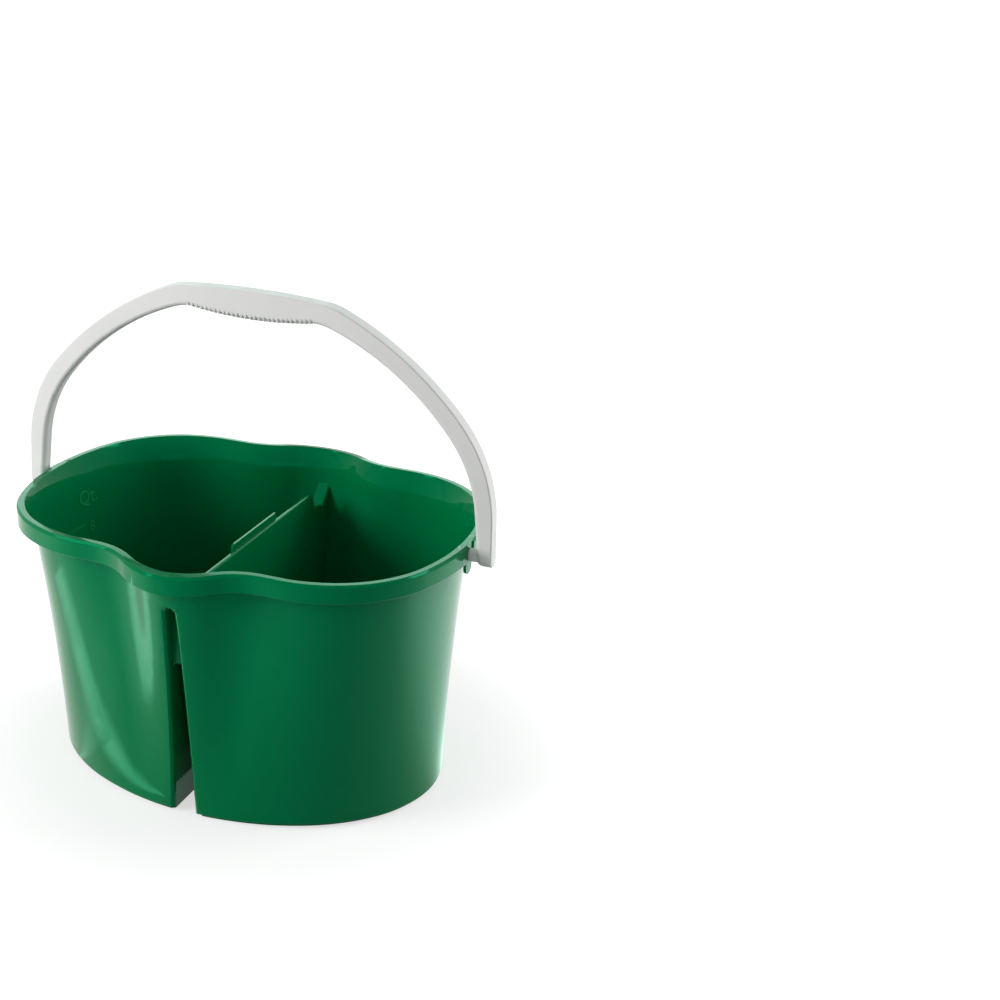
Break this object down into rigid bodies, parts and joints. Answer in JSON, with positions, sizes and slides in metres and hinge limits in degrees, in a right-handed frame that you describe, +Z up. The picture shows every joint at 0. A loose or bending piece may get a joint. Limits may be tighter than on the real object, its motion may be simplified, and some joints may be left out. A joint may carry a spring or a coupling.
{
  "type": "divided cleaning bucket",
  "caption": "Two-compartment oval cleaning bucket with pouring spouts, a hollow divider with a slot open to the floor, and a swinging carry handle.",
  "frame": {"origin": "on the floor, under the middle of the tub", "axes": "+Z up, +X through the handle's pivots, +Y along the divider from spout to spout"},
  "size_m": [0.4576, 0.348, 0.443],
  "materials": {
    "tub_plastic": "glossy moulded green",
    "handle_plastic": "satin off-white"
  },
  "bodies": {
    "bucket": {"bucket": "tub_plastic"},
    "handle": {"handle": "handle_plastic"}
  },
  "joints": [
    {"name": "handle_swing", "type": "hinge", "parent": "bucket", "child": "handle", "pos_m": [0, 0, 0.239], "axis": [1, 0, 0], "range_deg": [-115, 115]}
  ]
}
